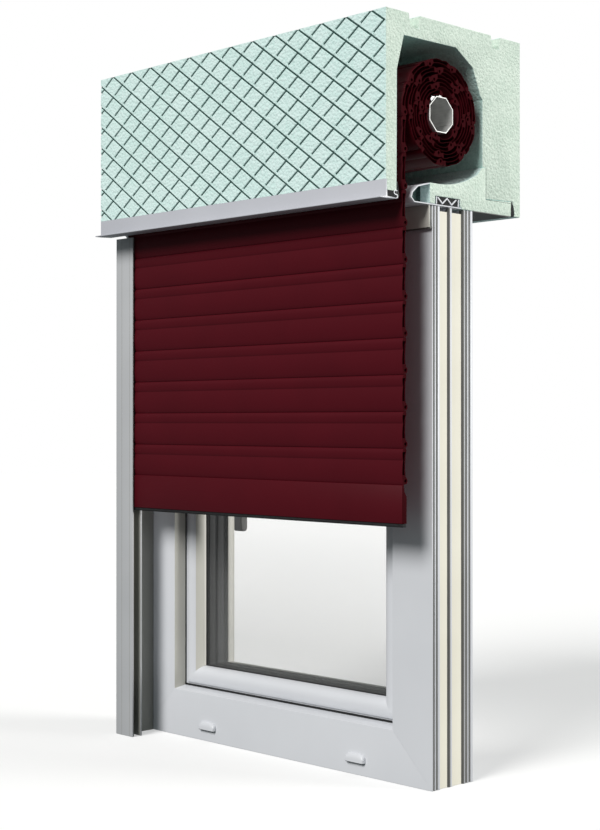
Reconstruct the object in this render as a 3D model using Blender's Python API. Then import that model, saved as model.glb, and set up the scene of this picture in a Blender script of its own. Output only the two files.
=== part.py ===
"""Motor-driven roller shutter box on a window, shown as a free-standing sample.

All driving sizes are millimetres. X runs along the window with 0 at its middle, depth runs from the
foam box's front face towards the room, and height starts at the underside of the window frame.
"""

import math

import bmesh
import bpy
from mathutils import Vector

MM = 0.001
GAP = 0.3                    # clearance between touching pieces

# Overall
WIDTH = 566.0
LEFT = -WIDTH / 2
RIGHT = WIDTH / 2

# Foam box
BOX_DEPTH = 260.5
BOX_BOTTOM = 727.0
BOX_TOP = 957.5
FRONT_WALL = 19.1
STRIP_TOP = 750.6
FOAM_FOOT = 737.5
DRIP_REACH = 10.0            # the drip edge stands this far in front of the foam
STRIP_WALL = 1.5
MID_DEPTH = (BOX_DEPTH - DRIP_REACH) / 2
BLOCK_FRONT = 80.3
BLOCK_STEP = 189.7
BLOCK_LEDGE = 784.6          # the shell's rear wall stands on the block at this height
TOOTH_START = 95.4           # the adapter's zigzag, between the box and the frame
TOOTH_STEP = 8.85
GROOVE_DEPTH = 16.0
TOP_GROOVES = ((41.5, 61.7), (200.0, 218.6))

# Shutter curtain and its tube
SLAT_PITCH = 45.0
SLATS = 10
LOWEST_JOINT = 381.0
END_SLAT_BOTTOM = 333.8
END_SEAL_BOTTOM = 329.3
CURTAIN_FRONT = 29.5
CURTAIN_LEFT = LEFT + 26.0
CURTAIN_RIGHT = RIGHT - 0.7
AXIS_DEPTH = 103.0
AXIS_HEIGHT = 841.5
ROLL_RADIUS = 71.5
LAYER = 9.5
TURNS = 4
TUBE_FLATS = 44.9
TUBE_WALL = 0.8

# Guide rail, left side
RAIL_LEFT = LEFT + 4.0
RAIL_RIGHT = LEFT + 42.5
RAIL_FRONT = 25.4
RAIL_SLOT = (27.4, 40.5)
RAIL_SLOT_LEFT = LEFT + 20.0
RAIL_LIP_BACK = 42.9
RAIL_CHAMBER_RIGHT = LEFT + 18.0

# Window frame: sizes in its section are measured inwards from the outer edge
FRAME_FRONT = 84.5
FRAME_BACK = 162.5
FRAME_TOP = 726.4
FRAME_FACE = 67.0
LIP_EDGE = 71.4
LIP_BACK = 101.5
REBATE = 48.0
OUTER_GROOVES = (            # from depth, to depth, how deep: clip channels in the frame's outer side
    (86.0, 89.5, 3.0), (91.4, 95.2, 3.0), (99.0, 117.2, 5.5),
    (122.0, 144.4, 5.5), (147.4, 152.3, 3.0), (154.3, 158.3, 3.0),
)

# Sash
SASH_FRONT = 104.5
SASH_BACK = 178.0
SASH_OUTER = 56.0
SASH_FLANGE = 40.0
FLANGE_FRONT = 165.5
SIGHT = 101.0
GLASS_REBATE = 84.0
GLASS_EDGE = 88.0
GLASS_FRONT = 118.0
BEAD_FRONT = 158.8
PANE = 4.0
SPACER = 12.0

# Sash hardware
HINGE_X = RIGHT - 38.0
HINGE_DEPTH = 184.0
HINGE_RADIUS = 5.5
HANDLE_X = LEFT + 74.0
HANDLE_HEIGHT = 405.0
HANDLE_TIP = 292.0
DRAIN_CAPS = (("drain_cap_left", -141.0), ("drain_cap_right", 152.0))
CAP_HALF_WIDTH = 17.0
CAP_BOTTOM = 17.0
CAP_SHOULDER = 21.0
CAP_TOP = 32.0
CAP_REACH = 5.5

# Motor
HEAD_RADIUS = 22.0
INLET_WIDTH = 9.0            # socket for the motor's lead, in the room side of its head
INLET_HEIGHT = 6.0
INLET_DEPTH = 7.0


def clear_scene():
    for item in list(bpy.data.objects):
        bpy.data.objects.remove(item, do_unlink=True)


def material(name, colour, roughness, metallic=0.0, alpha=1.0):
    finish = bpy.data.materials.new(name)
    finish.use_nodes = True
    shader = finish.node_tree.nodes["Principled BSDF"]
    shader.inputs["Base Color"].default_value = (*colour, 1.0)
    shader.inputs["Roughness"].default_value = roughness
    shader.inputs["Metallic"].default_value = metallic
    shader.inputs["Alpha"].default_value = alpha
    finish.diffuse_color = (*colour, alpha)
    return finish


def make_materials():
    return {
        "foam": material("foam", (0.54, 0.77, 0.69), 0.9),
        "white_plastic": material("white_plastic", (0.78, 0.80, 0.83), 0.35),
        "grey_strip": material("grey_strip", (0.50, 0.52, 0.58), 0.4),
        "black_seal": material("black_seal", (0.015, 0.015, 0.017), 0.7),
        "slat_paint": material("slat_paint", (0.065, 0.008, 0.015), 0.35),
        "steel": material("steel", (0.55, 0.56, 0.57), 0.35, 1.0),
        "motor_plastic": material("motor_plastic", (0.03, 0.03, 0.035), 0.5),
        "glass": material("glass", (0.9, 0.95, 0.95), 0.03, 0.0, 0.3),
        "spacer": material("spacer", (0.12, 0.125, 0.13), 0.5),
        "handle_grey": material("handle_grey", (0.10, 0.10, 0.11), 0.4),
    }


def at(x, depth, height):
    """World position of a point given in millimetres."""
    return Vector((x, depth - MID_DEPTH, height)) * MM


def solid(name, rings, closed, finish, pivot=None):
    """Skins equal rings of points into one solid. An open run of rings gets a cap at each end."""
    origin = pivot if pivot is not None else Vector((0.0, 0.0, 0.0))
    mesh = bpy.data.meshes.new(name)
    shape = bmesh.new()
    rows = [[shape.verts.new(point - origin) for point in ring] for ring in rings]
    pairs = list(zip(rows, rows[1:]))
    if closed:
        pairs.append((rows[-1], rows[0]))
    else:
        shape.faces.new(rows[0])
        shape.faces.new(rows[-1])
    for first, second in pairs:
        for i in range(len(first)):
            j = (i + 1) % len(first)
            shape.faces.new((first[i], first[j], second[j], second[i]))
    bmesh.ops.recalc_face_normals(shape, faces=shape.faces)
    shape.to_mesh(mesh)
    shape.free()
    mesh.materials.append(finish)
    piece = bpy.data.objects.new(name, mesh)
    piece.location = origin
    bpy.context.collection.objects.link(piece)
    return piece


def along_x(name, outline, start, end, finish, pivot=None):
    """Outline of (depth, height) points, drawn out along the window."""
    rings = [[at(x, depth, height) for depth, height in outline] for x in (start, end)]
    return solid(name, rings, False, finish, pivot)


def along_y(name, outline, start, end, finish, pivot=None):
    """Outline of (x, height) points, drawn out from depth start to depth end."""
    rings = [[at(x, depth, height) for x, height in outline] for depth in (start, end)]
    return solid(name, rings, False, finish, pivot)


def along_z(name, outline, start, end, finish, pivot=None):
    """Outline of (x, depth) points, drawn out upwards."""
    rings = [[at(x, depth, height) for x, depth in outline] for height in (start, end)]
    return solid(name, rings, False, finish, pivot)


def arc(centre, radius, start, end, count):
    """Points along an arc, angles in degrees."""
    points = []
    for i in range(count + 1):
        angle = math.radians(start + (end - start) * i / count)
        points.append((centre[0] + radius * math.cos(angle), centre[1] + radius * math.sin(angle)))
    return points


def circle(centre, radius, sides):
    return arc(centre, radius, 0, 360, sides)[:-1]


def octagon(centre, flats):
    """Corners of an octagon that stands on a flat."""
    return arc(centre, flats / 2 / math.cos(math.pi / 8), 22.5, 382.5, 8)[:-1]


def ribbon(path, thickness):
    """Closed outline of a bent strip with the given centre line."""
    line = [Vector(point) for point in path]
    left = []
    right = []
    for i, point in enumerate(line):
        before = (point - line[i - 1]).normalized() if i else None
        after = (line[i + 1] - point).normalized() if i < len(line) - 1 else None
        along = ((before or after) + (after or before)).normalized()
        side = Vector((-along.y, along.x))
        stretch = 1 / max(0.3, along.dot(before or after))
        left.append(tuple(point + side * thickness / 2 * stretch))
        right.append(tuple(point - side * thickness / 2 * stretch))
    return left + right[::-1]


def cut(piece, cutter):
    """Takes the cutter's shape out of the piece."""
    cutter.hide_render = True
    cutter.display_type = "WIRE"
    step = piece.modifiers.new("cut", "BOOLEAN")
    step.operation = "DIFFERENCE"
    step.solver = "EXACT"
    step.object = cutter


def corner(inset, depth, index):
    """Point at one of the window's four corners, counted from bottom left round to top left."""
    x = LEFT + inset if index in (0, 3) else RIGHT - inset
    height = inset if index in (0, 1) else FRAME_TOP - inset
    return at(x, depth, height)


def ring_piece(name, section, finish):
    """A section of (inset, depth) points carried all round the window."""
    rings = [[corner(inset, depth, index) for inset, depth in section] for index in range(4)]
    return solid(name, rings, True, finish)


def mitred_member(name, section, first, finish):
    """One side of a welded frame, cut at 45 degrees from corner number first to the next corner."""
    second = (first + 1) % 4
    start = [corner(inset, depth, first) for inset, depth in section]
    end = [corner(inset, depth, second) for inset, depth in section]
    back_off = (end[0] - start[0]).normalized() * GAP / 2 * MM
    rings = ([point + back_off for point in start], [point - back_off for point in end])
    return solid(name, rings, False, finish)


def foam_box(finishes):
    """Box shell, the inspection block under it, and the end plate that closes the motor side."""
    top = []
    for front, back in TOP_GROOVES:
        floor = BOX_TOP - GROOVE_DEPTH
        top += [(front, BOX_TOP), (front + 3, floor), (back - 2, floor), (back, BOX_TOP)]
    cavity = [(182.7, 871.3), (177.6, 877.0), (163.6, 909.4), (130.1, 930.0), (32.4, 929.0), (19.7, 885.4)]
    step = STRIP_WALL + GAP
    shell = [(step, FOAM_FOOT), (step, STRIP_TOP + GAP), (0, STRIP_TOP + GAP), (0, BOX_TOP)] + top + [
        (BOX_DEPTH, BOX_TOP), (BOX_DEPTH, BOX_BOTTOM), (247.4, BOX_BOTTOM), (248.4, 731.0), (247.4, 738.0),
        (244.0, 746.5), (BLOCK_STEP + GAP, 744.6), (BLOCK_STEP + GAP, BLOCK_LEDGE), (182.7, BLOCK_LEDGE),
    ] + cavity + [(FRONT_WALL, FOAM_FOOT)]
    along_x("foam_shell", shell, LEFT, RIGHT, finishes["foam"])

    trough = arc((96.0, 912.0), 157.8, -92.5, -61.2, 7) + [(182.4, BLOCK_LEDGE - GAP)]
    block = [(BLOCK_FRONT, trough[0][1])] + trough + [
        (BLOCK_STEP - GAP, trough[-1][1]), (BLOCK_STEP - GAP, 744.0), (242.0, 745.8), (240.8, 738.0),
        (240.8, BOX_BOTTOM), (141.0, BOX_BOTTOM), (141.0, 729.2), (138.0, 729.2), (138.0, 739.2),
        (90.0, 739.2), (90.0, 729.2), (BLOCK_FRONT, 729.2),
    ]
    along_x("inspection_block", block, LEFT, RIGHT, finishes["foam"])

    seal = [(241.2, BOX_BOTTOM), (247.0, BOX_BOTTOM), (248.0, 731.0), (247.0, 737.9), (243.6, 746.0),
            (242.4, 745.4), (241.2, 738.0)]
    along_x("block_seal", seal, LEFT, RIGHT, finishes["black_seal"])

    plate = [(FRONT_WALL + 1, 790.0), (FRONT_WALL + 1, 884.0), (33.0, 928.0), (129.8, 929.0),
             (163.0, 908.4), (177.0, 876.4), (182.0, 870.5), (182.0, 790.0)]
    along_x("end_plate", plate, LEFT, LEFT + 6.0, finishes["white_plastic"])


def box_profiles(finishes):
    """Extrusions along the box's lower edge."""
    strip = [(0, STRIP_TOP), (STRIP_WALL, STRIP_TOP), (STRIP_WALL, FOAM_FOOT - GAP),
             (FRONT_WALL, FOAM_FOOT - GAP), (FRONT_WALL, 728.2), (0, 727.3), (-DRIP_REACH, 727.3),
             (-DRIP_REACH, 728.6), (0, 730.0)]
    along_x("plaster_strip", strip, LEFT, RIGHT, finishes["grey_strip"])

    brush = [(FRONT_WALL + GAP, 728.6), (22.0, 728.6), (23.4, 733.0), (20.6, 748.6),
             (FRONT_WALL + GAP, 748.6)]
    along_x("brush_seal", brush, LEFT + 46.0, RIGHT, finishes["black_seal"])

    nose = ribbon([(79.0, 753.2), (58.0, 747.9), (47.9, 739.4), (46.0, 733.0), (51.3, 727.9),
                   (140.0, 727.9)], 1.6)
    along_x("nose_profile", nose, LEFT, RIGHT, finishes["white_plastic"])

    teeth = [(TOOTH_START + TOOTH_STEP * i, 737.6 if i % 2 == 0 else 730.4) for i in range(5)]
    along_x("adapter_profile", ribbon(teeth, 1.6), LEFT, RIGHT, finishes["white_plastic"])

    flange_left = RAIL_CHAMBER_RIGHT + 1.0
    flange = [(78.4, 699.0), (79.8, 699.0), (79.8, 726.6), (78.4, 726.6)]
    along_x("frame_flange", flange, flange_left, RIGHT, finishes["white_plastic"])
    lip = [(80.1, 697.0), (FRAME_FRONT - GAP, 698.6), (FRAME_FRONT - GAP, 700.6), (80.1, 703.6)]
    along_x("flange_seal", lip, flange_left, RIGHT, finishes["black_seal"])


def slat_section(bottom, height):
    """Section of one hanging slat: flat front, and a thicker knuckle at the back of its lower edge."""
    front = CURTAIN_FRONT
    low = bottom + GAP / 2
    high = bottom + height - GAP / 2
    return [
        (front + 0.6, low), (front, low + 1), (front, high - 1), (front + 0.6, high), (front + 3.4, high),
        (front + 4.6, bottom + 30), (front + 4.8, bottom + 13), (front + 8, bottom + 9),
        (front + 9.8, bottom + 5), (front + 8.6, bottom + 1.6), (front + 5.5, low),
    ]


def hanging_curtain(finishes):
    for i in range(SLATS):
        section = slat_section(LOWEST_JOINT + SLAT_PITCH * i, SLAT_PITCH)
        along_x(f"slat_{i + 1:02d}", section, CURTAIN_LEFT, CURTAIN_RIGHT, finishes["slat_paint"])
    front = CURTAIN_FRONT
    low = END_SLAT_BOTTOM
    high = LOWEST_JOINT - GAP / 2
    end = [(front, low), (front, high - 1), (front + 0.6, high), (front + 3.4, high),
           (front + 4.6, high - 8), (front + 8.4, high - 14), (front + 8.4, low)]
    along_x("end_slat", end, CURTAIN_LEFT, CURTAIN_RIGHT, finishes["slat_paint"])
    seal = [(front + 1, END_SEAL_BOTTOM), (front + 7.4, END_SEAL_BOTTOM), (front + 7.4, low - GAP),
            (front + 1, low - GAP)]
    along_x("end_slat_seal", seal, CURTAIN_LEFT, CURTAIN_RIGHT, finishes["black_seal"])


def winding_section(turn):
    """One turn of the spiral. The path starts at the front, goes over the top and works inwards."""
    steps = 40
    start = 2 * math.pi * turn - (math.radians(6) if turn == 0 else 0)
    end = 2 * math.pi * (turn + 1) - 2 * GAP / ROLL_RADIUS
    outer = []
    inner = []
    for i in range(steps + 1):
        angle = start + (end - start) * i / steps
        radius = ROLL_RADIUS - LAYER * angle / (2 * math.pi)
        for edge, line in ((radius, outer), (radius - LAYER + GAP, inner)):
            line.append((AXIS_DEPTH - edge * math.cos(angle), AXIS_HEIGHT + edge * math.sin(angle)))
    return outer + inner[::-1]


def winding(finishes):
    """Octagonal tube, what turns with it, and the wound slats."""
    axis = (AXIS_DEPTH, AXIS_HEIGHT)
    pivot = at(0, *axis)
    tube_left = CURTAIN_LEFT - 1.5
    tube = along_x("winding_tube", octagon(axis, TUBE_FLATS), tube_left, RIGHT - 1.0, finishes["steel"],
                   pivot)
    bore = along_x("tube_bore_cutter", octagon(axis, TUBE_FLATS - 2 * TUBE_WALL), LEFT - 5, RIGHT + 5,
                   finishes["steel"], pivot)
    cut(tube, bore)
    for turn in range(TURNS):
        along_x(f"winding_{turn + 1}", winding_section(turn), CURTAIN_LEFT, CURTAIN_RIGHT,
                finishes["slat_paint"], pivot)
    hanger_low = AXIS_HEIGHT + TUBE_FLATS / 2 + GAP
    hanger = [(AXIS_DEPTH - 7, hanger_low), (AXIS_DEPTH + 7, hanger_low),
              (AXIS_DEPTH + 7, hanger_low + 1.5), (AXIS_DEPTH - 7, hanger_low + 1.5)]
    along_x("curtain_hanger", hanger, -15.0, 15.0, finishes["steel"], pivot)

    inner_flats = TUBE_FLATS - 2 * TUBE_WALL - 2 * GAP
    crown = along_x("limit_crown", octagon(axis, inner_flats), tube_left + 0.5, tube_left + 15,
                    finishes["motor_plastic"], pivot)
    crown_bore = along_x("crown_bore_cutter", circle(axis, 18.2, 32), LEFT - 5, RIGHT + 5,
                         finishes["motor_plastic"], pivot)
    cut(crown, crown_bore)
    along_x("drive_wheel", octagon(axis, inner_flats), LEFT + 326.3, LEFT + 344.0,
            finishes["motor_plastic"], pivot)


def motor(finishes):
    """Tubular motor in the tube's left end, held on the end plate by its bracket."""
    axis = (AXIS_DEPTH, AXIS_HEIGHT)
    depth, height = axis
    bracket = [(depth - 30, height - 16), (depth + 30, height - 16), (depth + 30, height + 16),
               (depth - 30, height + 16)]
    along_x("motor_bracket", bracket, LEFT + 6.3, LEFT + 8.3, finishes["steel"])
    head_right = CURTAIN_LEFT - 2.0
    head = along_x("motor_head", circle(axis, HEAD_RADIUS, 40), LEFT + 8.6, head_right,
                   finishes["motor_plastic"])
    inlet_front = depth + HEAD_RADIUS - INLET_DEPTH
    inlet_back = depth + HEAD_RADIUS + 2
    inlet = [(inlet_front, height - INLET_HEIGHT / 2), (inlet_back, height - INLET_HEIGHT / 2),
             (inlet_back, height + INLET_HEIGHT / 2), (inlet_front, height + INLET_HEIGHT / 2)]
    middle = (LEFT + 8.6 + head_right) / 2
    cut(head, along_x("lead_inlet_cutter", inlet, middle - INLET_WIDTH / 2, middle + INLET_WIDTH / 2,
                      finishes["motor_plastic"]))
    along_x("motor_tube", circle(axis, 17.5, 32), head_right + GAP, LEFT + 326.0, finishes["steel"])
    for name, offset in (("limit_screw_up", -6.0), ("limit_screw_down", 6.0)):
        spot = (middle, depth + offset)
        seat = along_z(name + "_cutter", circle(spot, 2.6, 16), height - 30, height - 17,
                       finishes["motor_plastic"])
        cut(head, seat)
        along_z(name, circle(spot, 2.2, 16), height - 22.5, height - 17.5, finishes["white_plastic"],
                at(spot[0], spot[1], height - 20))


def guide_rail(finishes):
    """Rail at the left edge: a slot for the slats' ends and a rear chamber that meets the frame."""
    slot_front, slot_back = RAIL_SLOT
    rail_back = FRAME_FRONT - GAP
    section = [
        (RAIL_LEFT, RAIL_FRONT), (RAIL_RIGHT, RAIL_FRONT), (RAIL_RIGHT, slot_front),
        (RAIL_SLOT_LEFT, slot_front),
        (RAIL_SLOT_LEFT, slot_back), (RAIL_RIGHT, slot_back), (RAIL_RIGHT, RAIL_LIP_BACK),
        (RAIL_CHAMBER_RIGHT, RAIL_LIP_BACK), (RAIL_CHAMBER_RIGHT, rail_back), (RAIL_LEFT, rail_back),
    ]
    along_z("guide_rail", section, 0, FRAME_TOP - GAP, finishes["grey_strip"])
    seal = [(RAIL_RIGHT - 4, slot_front + GAP), (RAIL_RIGHT - 1, slot_front + GAP),
            (RAIL_RIGHT - 1, slot_front + 1.6), (RAIL_RIGHT - 4, slot_front + 1.6)]
    along_z("rail_seal", seal, 1.0, FRAME_TOP - 1, finishes["black_seal"])


def window_frame(finishes):
    """Four mitred members, their gasket and the two caps over the drain slots."""
    section = [(0, FRAME_FRONT), (FRAME_FACE, FRAME_FRONT), (LIP_EDGE, LIP_BACK), (REBATE, LIP_BACK),
               (REBATE, FRAME_BACK), (0, FRAME_BACK)]
    for front, back, depth in reversed(OUTER_GROOVES):
        section += [(0, back), (depth, back), (depth, front), (0, front)]
    for first, name in enumerate(("frame_sill", "frame_jamb_right", "frame_head", "frame_jamb_left")):
        mitred_member(name, section, first, finishes["white_plastic"])
    gasket = [(62.0, LIP_BACK + GAP), (72.0, LIP_BACK + GAP), (74.0, SASH_FRONT - GAP),
              (62.0, SASH_FRONT - GAP)]
    ring_piece("frame_gasket", gasket, finishes["black_seal"])
    for name, x in DRAIN_CAPS:
        hood = [(x + CAP_HALF_WIDTH * math.cos(turn), CAP_SHOULDER + (CAP_TOP - CAP_SHOULDER) * math.sin(turn))
                for turn in (math.radians(15 * i) for i in range(13))]
        outline = hood + [(x - CAP_HALF_WIDTH, CAP_BOTTOM), (x + CAP_HALF_WIDTH, CAP_BOTTOM)]
        along_y(name, outline, FRAME_FRONT - CAP_REACH, FRAME_FRONT - GAP, finishes["white_plastic"])


def sash(finishes):
    """Inward-opening sash with its glazing."""
    bulge = [(SIGHT - 15.0 + 15.0 * math.sin(turn), GLASS_FRONT - 2.0 - 15.5 * math.cos(turn))
             for turn in (math.radians(15 * i) for i in range(7))]
    section = [(SASH_OUTER, SASH_FRONT), (75.0, SASH_FRONT), (76.0, 102.0), (80.0, 100.9)] + bulge + [
        (SIGHT, GLASS_FRONT - 1.5), (GLASS_REBATE, GLASS_FRONT - 1.5),
        (GLASS_REBATE, SASH_BACK), (SASH_FLANGE, SASH_BACK), (SASH_FLANGE, FLANGE_FRONT),
        (SASH_OUTER, FLANGE_FRONT),
    ]
    for first, name in enumerate(("sash_bottom", "sash_right", "sash_top", "sash_left")):
        mitred_member(name, section, first, finishes["white_plastic"])
    gasket = [(91.0, GLASS_FRONT - 1.2), (SIGHT + 1.0, GLASS_FRONT - 1.2), (SIGHT + 1.0, GLASS_FRONT - GAP),
              (91.0, GLASS_FRONT - GAP)]
    ring_piece("glazing_gasket", gasket, finishes["black_seal"])

    front = GLASS_FRONT
    for name, spacer in (("outer", True), ("middle", True), ("inner", False)):
        pane = [(LEFT + GLASS_EDGE, GLASS_EDGE), (RIGHT - GLASS_EDGE, GLASS_EDGE),
                (RIGHT - GLASS_EDGE, FRAME_TOP - GLASS_EDGE), (LEFT + GLASS_EDGE, FRAME_TOP - GLASS_EDGE)]
        along_y("glass_" + name, pane, front, front + PANE, finishes["glass"])
        front += PANE
        if spacer:
            bar = [(93.0, front + GAP), (SIGHT + 0.8, front + GAP), (SIGHT + 0.8, front + SPACER - GAP),
                   (93.0, front + SPACER - GAP)]
            ring_piece("spacer_outer" if name == "outer" else "spacer_inner", bar, finishes["spacer"])
            front += SPACER

    bead = [(GLASS_REBATE + GAP, BEAD_FRONT), (SIGHT, BEAD_FRONT), (SIGHT, 170.0), (SIGHT - 5.0, SASH_BACK - 2),
            (GLASS_REBATE + GAP, SASH_BACK - 2)]
    ring_piece("glazing_bead", bead, finishes["white_plastic"])


def sash_hardware(finishes):
    """Handle, the rod it drives in the sash's edge, and the two hinges on the frame."""
    x = HANDLE_X
    pivot = at(x, SASH_BACK + 12.0, HANDLE_HEIGHT)
    plate = arc((x, HANDLE_HEIGHT + 20), 13.0, 0, 180, 8) + arc((x, HANDLE_HEIGHT - 20), 13.0, 180, 360, 8)
    along_y("handle_rosette", plate, SASH_BACK + GAP, SASH_BACK + 12.0, finishes["handle_grey"])
    grip = [(SASH_BACK + 12.3, HANDLE_HEIGHT - 9), (198.0, HANDLE_HEIGHT - 9), (201.0, HANDLE_TIP + 4),
            (204.0, HANDLE_TIP), (211.0, HANDLE_TIP), (214.0, HANDLE_TIP + 4), (213.0, HANDLE_HEIGHT + 6),
            (210.0, HANDLE_HEIGHT + 9), (SASH_BACK + 12.3, HANDLE_HEIGHT + 9)]
    along_x("handle_grip", grip, x - 10, x + 10, finishes["handle_grey"], pivot)

    rod_right = LEFT + SASH_OUTER - GAP
    rod = [(rod_right - 2.3, 128.0), (rod_right, 128.0), (rod_right, 144.0), (rod_right - 2.3, 144.0)]
    along_z("locking_rod", rod, 130, 600, finishes["steel"])

    leaf_front = FRAME_BACK + GAP
    knuckle = arc((HINGE_X, HINGE_DEPTH), HINGE_RADIUS, 270, 0, 12)
    outline = knuckle + [
        (HINGE_X + HINGE_RADIUS, leaf_front + 4), (RIGHT - 14.0, leaf_front + 4),
        (RIGHT - 14.0, leaf_front), (HINGE_X + 0.5, leaf_front),
    ]
    for name, low in (("hinge_lower", 105.0), ("hinge_upper", 585.0)):
        along_z(name, outline, low, low + 36.0, finishes["white_plastic"], at(HINGE_X, HINGE_DEPTH, low))


def main():
    clear_scene()
    finishes = make_materials()
    foam_box(finishes)
    box_profiles(finishes)
    hanging_curtain(finishes)
    winding(finishes)
    motor(finishes)
    guide_rail(finishes)
    window_frame(finishes)
    sash(finishes)
    sash_hardware(finishes)


main()
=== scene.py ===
import math

import bmesh
import bpy
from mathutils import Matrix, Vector


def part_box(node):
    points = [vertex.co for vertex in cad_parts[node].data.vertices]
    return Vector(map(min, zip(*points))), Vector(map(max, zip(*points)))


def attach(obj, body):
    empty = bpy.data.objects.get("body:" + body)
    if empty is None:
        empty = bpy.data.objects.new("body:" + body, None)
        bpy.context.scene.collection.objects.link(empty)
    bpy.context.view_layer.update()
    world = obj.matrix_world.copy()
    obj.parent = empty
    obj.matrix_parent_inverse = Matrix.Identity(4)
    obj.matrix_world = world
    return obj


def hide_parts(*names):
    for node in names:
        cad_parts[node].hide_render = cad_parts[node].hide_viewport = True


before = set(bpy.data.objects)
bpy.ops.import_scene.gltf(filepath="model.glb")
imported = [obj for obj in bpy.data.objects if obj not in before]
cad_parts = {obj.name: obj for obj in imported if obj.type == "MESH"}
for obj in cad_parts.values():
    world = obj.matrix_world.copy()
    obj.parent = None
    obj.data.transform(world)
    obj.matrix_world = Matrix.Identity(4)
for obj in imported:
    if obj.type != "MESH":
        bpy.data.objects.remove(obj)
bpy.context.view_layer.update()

MM = 0.001

# Driving sizes in millimetres, all read from the frame. X is the part's own. Depth is counted from the
# foam box's front face towards the room, and height from the underside of the window frame.
FRONT_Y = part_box("foam_shell")[0].y / MM


def span(node):
    """Lowest and highest (x, depth, height) of a CAD node, in millimetres."""
    low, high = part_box(node)
    return [(p.x / MM, p.y / MM - FRONT_Y, p.z / MM) for p in (low, high)]


(LEFT, _, BOX_BOTTOM), (RIGHT, BOX_DEPTH, BOX_TOP) = span("foam_shell")
CURTAIN_LEFT, CURTAIN_FRONT, LOWEST_JOINT = span("slat_01")[0]
CURTAIN_RIGHT = span("slat_01")[1][0]
SLATS = 10
SLAT_PITCH = (span("slat_10")[0][2] - span("slat_01")[0][2]) / (SLATS - 1)
TUBE_LOW, TUBE_HIGH = span("winding_tube")
AXIS = ((TUBE_LOW[1] + TUBE_HIGH[1]) / 2, (TUBE_LOW[2] + TUBE_HIGH[2]) / 2)
TUBE_FLATS = TUBE_HIGH[1] - TUBE_LOW[1]
FRAME_TOP = span("frame_head")[1][2]
FRAME_BACK = span("frame_sill")[1][1]


def at(x, depth, height):
    return Vector((x, depth + FRONT_Y, height)) * MM


# ---------------------------------------------------------------- meshes

SAME_PLACE = 0.005 * MM      # points this close are one point
FLAT = math.radians(0.6)     # faces that meet at less than this are one face
SHARP = math.radians(32)     # edges that turn more than this are rounded
WELD_REACH = 0.2             # the mitred bars reach this far into the seams between them
CUT_BAND = 1.2               # the sample's cut faces lie within this distance of its right end
CURVE_STEPS = 3              # how many pieces a smooth path has between two of its points
SCREW_SIDES = 20
SCREW_PROFILE = ((1.0, -0.6), (1.0, 0.25), (0.86, 0.55), (0.5, 0.75))   # (share of the radius, rise)
CROSS_HALF_WIDTH = 0.13      # the cross recess, as shares of the screw's radius
CROSS_REACH = 0.42
CROSS_DEPTH = 0.9


def make_piece(name, shape, finish, body, replaces=(), smooth=35.0):
    """Turns a bmesh into a named piece that rides on a body."""
    bmesh.ops.recalc_face_normals(shape, faces=shape.faces)
    mesh = bpy.data.meshes.new(name)
    shape.to_mesh(mesh)
    shape.free()
    finishes = [finish] if isinstance(finish, str) else finish
    for each in finishes:
        mesh.materials.append(FINISH[each])
    mesh.shade_smooth()
    mesh.set_sharp_from_angle(angle=math.radians(smooth))
    piece = bpy.data.objects.new(name, mesh)
    bpy.context.scene.collection.objects.link(piece)
    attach(piece, body)
    if replaces:
        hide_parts(*replaces)
    return piece


def skin(shape, rings, closed=False, caps=True):
    """Bridges equal rings of points. Open runs get end caps."""
    rows = [[shape.verts.new(point) for point in ring] for ring in rings]
    pairs = list(zip(rows, rows[1:]))
    if closed:
        pairs.append((rows[-1], rows[0]))
    elif caps:
        shape.faces.new(rows[0])
        shape.faces.new(rows[-1])
    for first, second in pairs:
        for i in range(len(first)):
            j = (i + 1) % len(first)
            shape.faces.new((first[i], first[j], second[j], second[i]))
    return rows


def arc(centre, radius, start, end, count):
    points = []
    for i in range(count + 1):
        angle = math.radians(start + (end - start) * i / count)
        points.append((centre[0] + radius * math.cos(angle), centre[1] + radius * math.sin(angle)))
    return points


def circle(centre, radius, sides):
    return arc(centre, radius, 0, 360, sides)[:-1]


def rounded(outline, radius, steps):
    """Rounds the corners of a closed outline."""
    result = []
    for i, corner in enumerate(outline):
        here = Vector(corner)
        before = Vector(outline[i - 1]) - here
        after = Vector(outline[(i + 1) % len(outline)]) - here
        reach = radius * math.tan((math.pi - before.angle(after)) / 2)
        start = here + before.normalized() * reach
        end = here + after.normalized() * reach
        for k in range(steps + 1):
            t = k / steps
            result.append(tuple(start * (1 - t) ** 2 + here * 2 * t * (1 - t) + end * t ** 2))
    return result


def ribbon(path, thickness):
    """Closed outline of a bent strip with the given centre line."""
    line = [Vector(point) for point in path]
    left = []
    right = []
    for i, point in enumerate(line):
        before = (point - line[i - 1]).normalized() if i else None
        after = (line[i + 1] - point).normalized() if i < len(line) - 1 else None
        along = ((before or after) + (after or before)).normalized()
        side = Vector((-along.y, along.x))
        stretch = 1 / along.dot(before or after)
        left.append(tuple(point + side * thickness / 2 * stretch))
        right.append(tuple(point - side * thickness / 2 * stretch))
    return left + right[::-1]


def smooth_path(points):
    """Curve through a few points."""
    line = [Vector(p) for p in points]
    line = [line[0] * 2 - line[1]] + line + [line[-1] * 2 - line[-2]]
    result = []
    for i in range(1, len(line) - 2):
        a, b, c, d = line[i - 1:i + 3]
        for k in range(CURVE_STEPS):
            t = k / CURVE_STEPS
            result.append(tuple(0.5 * (2 * b + (c - a) * t + (2 * a - 5 * b + 4 * c - d) * t * t
                                       + (3 * b - a - 3 * c + d) * t ** 3)))
    return result + [tuple(line[-2])]


def rectangle(low, high):
    """Outline of a rectangle between two opposite corners."""
    return [low, (high[0], low[1]), high, (low[0], high[1])]


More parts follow.
